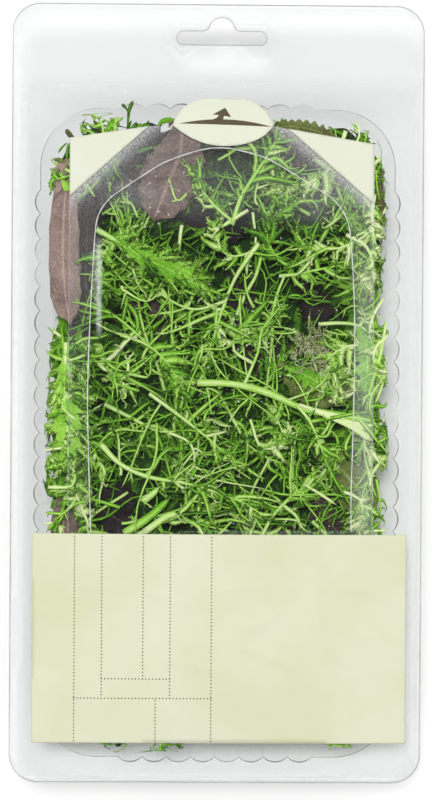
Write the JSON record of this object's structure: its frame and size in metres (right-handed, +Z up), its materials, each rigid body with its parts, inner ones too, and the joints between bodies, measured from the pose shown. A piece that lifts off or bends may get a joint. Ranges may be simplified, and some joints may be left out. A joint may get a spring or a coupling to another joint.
{
  "type": "sealed tray of mustard greens",
  "caption": "Loose frilly mustard leaves, green and purple, in a clear fluted tray with a hang slot, a sealed film lid and a plain resealable label.",
  "frame": {"origin": "under the middle of the pack's outline, on the surface that the tray's floor rests on", "axes": "+Z up through the lid film, +Y along the pack towards the hang slot, +X to the right seen from above"},
  "size_m": [0.146, 0.276, 0.0495],
  "materials": {
    "tray_plastic": "clear thermoformed sheet, glossy",
    "lid_plastic": "clear film, glossy",
    "label_clear": "clear self-adhesive film, glossy",
    "label_cream": "cream label stock, satin",
    "leaf_green": "fresh leaf, satin, slightly translucent",
    "leaf_deep_green": "fresh dark leaf, satin",
    "leaf_pale": "pale stalk and leaf, satin",
    "leaf_purple": "purple-brown leaf, satin"
  },
  "bodies": {
    "root": {"tray": "tray_plastic", "lid_film": "lid_plastic", "label_window": "label_clear", "label_panel": "label_cream", "seal_left": "label_cream", "seal_right": "label_cream", "pull_tab": "label_cream", "stem_long": "leaf_pale", "frill_upper_left": "leaf_green", "frond_lower_left": "leaf_pale", "frill_left_edge": "leaf_green", "frond_top": "leaf_green", "stem_upper_middle": "leaf_pale", "stem_middle_left": "leaf_pale", "frond_right": "leaf_green", "stem_right_arc": "leaf_pale", "frond_bottom_left": "leaf_pale", "stem_left_short": "leaf_pale", "frond_middle_left": "leaf_green", "stem_tall_right": "leaf_green", "frond_middle_right": "leaf_green", "frond_bottom_right": "leaf_green", "frond_left_curl": "leaf_green", "frond_upper_right": "leaf_green", "leaf_right_veined": "leaf_green", "purple_left": "leaf_purple", "sprig_top_left": "leaf_deep_green", "purple_top": "leaf_purple", "purple_top_right": "leaf_purple", "olive_right": "leaf_purple", "purple_bottom_left": "leaf_purple", "green_panel_1": "leaf_green", "green_panel_2": "leaf_deep_green", "green_panel_3": "leaf_green", "frond_panel_4": "leaf_green", "purple_lower_0_0": "leaf_purple", "green_lower_0_1": "leaf_green", "green_lower_1_0": "leaf_deep_green", "purple_lower_1_1": "leaf_purple", "green_lower_1_2": "leaf_deep_green", "green_lower_2_0": "leaf_deep_green", "green_lower_2_1": "leaf_green", "purple_lower_3_0": "leaf_purple", "green_lower_3_1": "leaf_green", "green_lower_3_2": "leaf_deep_green", "green_lower_4_0": "leaf_deep_green", "purple_lower_4_1": "leaf_purple", "green_lower_5_0": "leaf_deep_green", "green_lower_5_1": "leaf_green", "purple_lower_5_2": "leaf_purple", "purple_lower_6_0": "leaf_purple", "green_lower_6_1": "leaf_green", "green_lower_7_0": "leaf_deep_green", "purple_lower_7_1": "leaf_purple", "green_lower_7_2": "leaf_deep_green", "green_lower_8_0": "leaf_deep_green", "green_lower_8_1": "leaf_green", "purple_lower_9_0": "leaf_purple", "green_lower_9_1": "leaf_green", "green_lower_9_2": "leaf_deep_green"}
  },
  "joints": []
}
